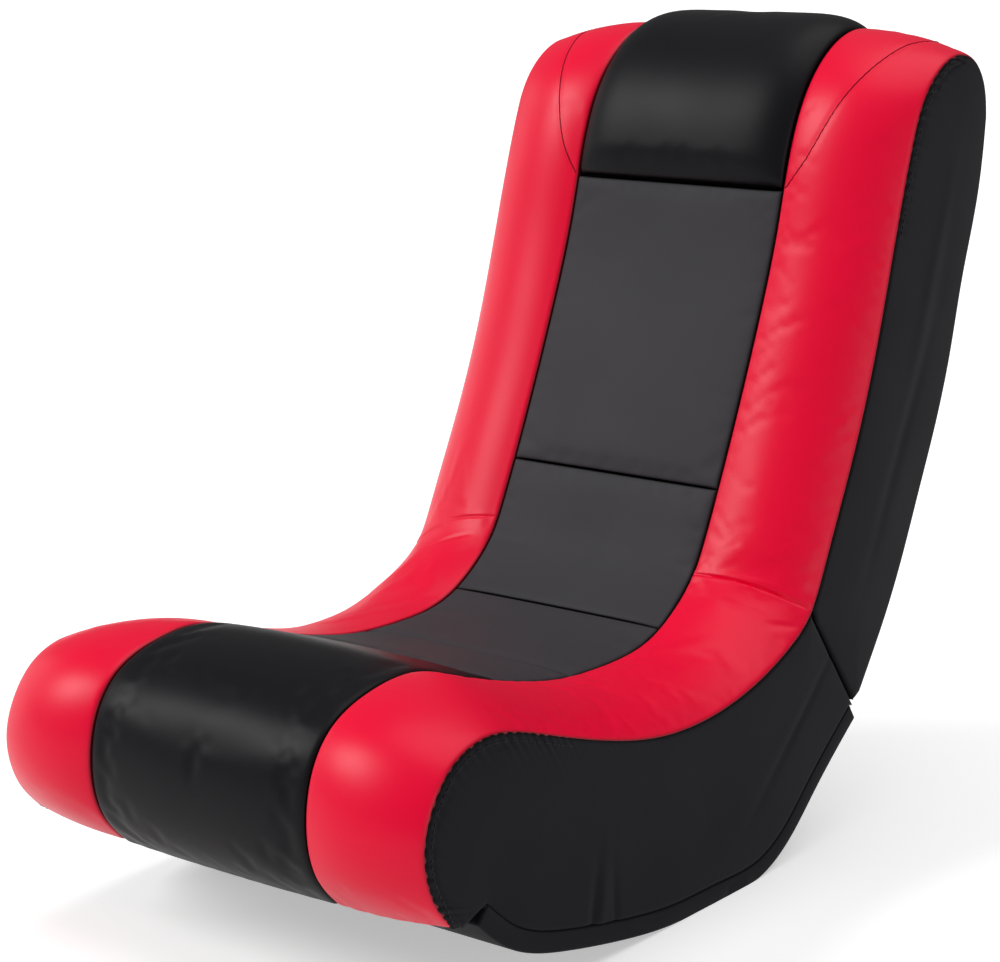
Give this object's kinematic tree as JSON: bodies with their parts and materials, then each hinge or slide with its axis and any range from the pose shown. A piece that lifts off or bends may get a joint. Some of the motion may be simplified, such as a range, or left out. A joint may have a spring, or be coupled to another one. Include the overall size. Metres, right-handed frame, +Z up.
{
  "type": "gaming rocker chair",
  "caption": "Legless floor chair with a curved rocker base, padded bolsters, a headrest and a backrest that folds down onto the seat.",
  "frame": {"origin": "on the floor, in the middle of the flat at the rocker's lowest point", "axes": "+X to the right of the chair as seen from its front, +Y to its back, +Z up"},
  "size_m": [0.425, 0.828, 0.6936],
  "materials": {
    "red_vinyl": "semi-gloss PU vinyl with a fine grain",
    "charcoal_vinyl": "matt PU vinyl",
    "black_gloss_vinyl": "semi-gloss PU vinyl",
    "black_vinyl": "semi-gloss PU vinyl",
    "black_cloth": "non-woven lining cloth",
    "foam": "open-cell polyurethane foam",
    "plywood": "sanded plywood",
    "fibreboard": "smooth hardboard",
    "zinc_steel": "zinc-plated steel"
  },
  "bodies": {
    "seat": {"bolster_fold_cover_left": "red_vinyl", "bolster_fold_cover_right": "red_vinyl", "bolster_fold_foam_left": "foam", "bolster_fold_foam_right": "foam", "front_roll_cover": "black_gloss_vinyl", "front_roll_foam": "foam", "hinge_pin_left": "zinc_steel", "hinge_pin_right": "zinc_steel", "lumbar_cover": "charcoal_vinyl", "lumbar_foam": "foam", "rocker_board": "plywood", "rocker_cover": "black_vinyl", "seat_bolster_cover_left": "red_vinyl", "seat_bolster_cover_right": "red_vinyl", "seat_bolster_foam_left": "foam", "seat_bolster_foam_right": "foam", "seat_center_cover": "charcoal_vinyl", "seat_center_foam": "foam", "seat_cheek_left": "plywood", "seat_cheek_right": "plywood", "seat_front_board": "plywood", "seat_hinge_leaf_left": "zinc_steel", "seat_hinge_leaf_right": "zinc_steel", "seat_hinge_screws": "zinc_steel", "seat_liner": "fibreboard", "seat_middle_rail": "plywood", "seat_rear_lining": "black_cloth", "seat_rear_rail": "plywood", "seat_roll_board": "plywood", "seat_side_cover_left": "black_vinyl", "seat_side_cover_right": "black_vinyl", "seat_side_foam_left": "foam", "seat_side_foam_right": "foam"},
    "backrest": {"back_bolster_cover_left": "red_vinyl", "back_bolster_cover_right": "red_vinyl", "back_bolster_foam_left": "foam", "back_bolster_foam_right": "foam", "back_bottom_lining": "black_cloth", "back_bottom_rail": "plywood", "back_center_cover": "charcoal_vinyl", "back_center_foam": "foam", "back_cheek_left": "plywood", "back_cheek_right": "plywood", "back_hinge_leaf_left": "zinc_steel", "back_hinge_leaf_right": "zinc_steel", "back_hinge_screws": "zinc_steel", "back_liner": "fibreboard", "back_middle_rail": "plywood", "back_rear_cover": "black_vinyl", "back_rear_foam": "foam", "back_side_cover_left": "black_vinyl", "back_side_cover_right": "black_vinyl", "back_side_foam_left": "foam", "back_side_foam_right": "foam", "back_top_rail": "plywood", "back_upper_rail": "plywood", "headrest_cover": "black_gloss_vinyl", "headrest_foam": "foam"}
  },
  "joints": [
    {"name": "fold", "type": "hinge", "parent": "seat", "child": "backrest", "pos_m": [0, 0.16912, 0.20097], "axis": [1, 0, 0], "range_deg": [0, 95], "deforming": ["bolster_fold_cover_left", "bolster_fold_cover_right", "bolster_fold_foam_left", "bolster_fold_foam_right", "lumbar_cover", "lumbar_foam"]}
  ]
}
